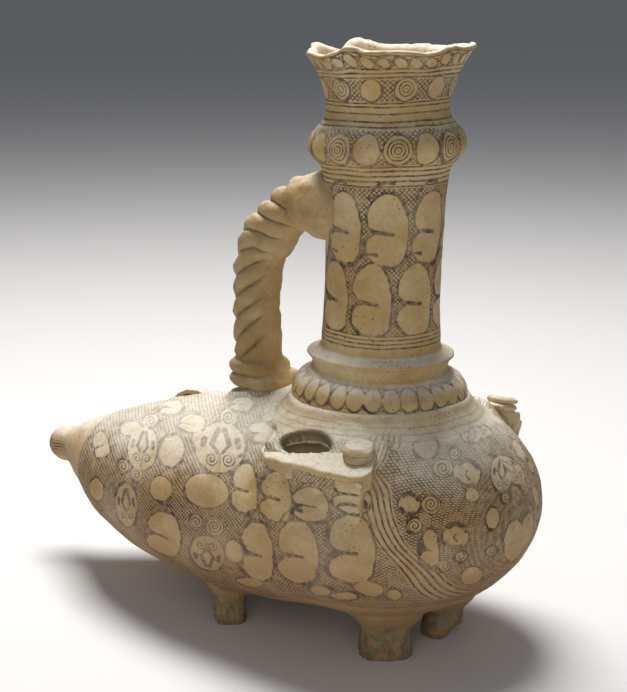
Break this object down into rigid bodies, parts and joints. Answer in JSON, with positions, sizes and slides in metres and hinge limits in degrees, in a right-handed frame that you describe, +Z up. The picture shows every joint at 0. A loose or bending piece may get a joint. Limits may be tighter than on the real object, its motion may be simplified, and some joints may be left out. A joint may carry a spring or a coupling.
{
  "type": "pottery ewer",
  "caption": "Hand-built painted pottery ewer: boat-shaped hollow body with a knobbed nose on stub feet, tall flanged neck with a flared wavy mouth, rope handle, slotted side lugs.",
  "frame": {"origin": "middle of the bounding box in plan, on the surface that the feet stand on", "axes": "-X towards the knobbed nose, +X towards the round rear, +Y towards the flank that the picture hides, +Z up along the neck"},
  "size_m": [0.389, 0.199, 0.376],
  "materials": {
    "painted_clay": "matte fired clay with a buff slip and dark brown painted pattern, worn"
  },
  "bodies": {
    "root": {"ewer": "painted_clay"}
  },
  "joints": []
}
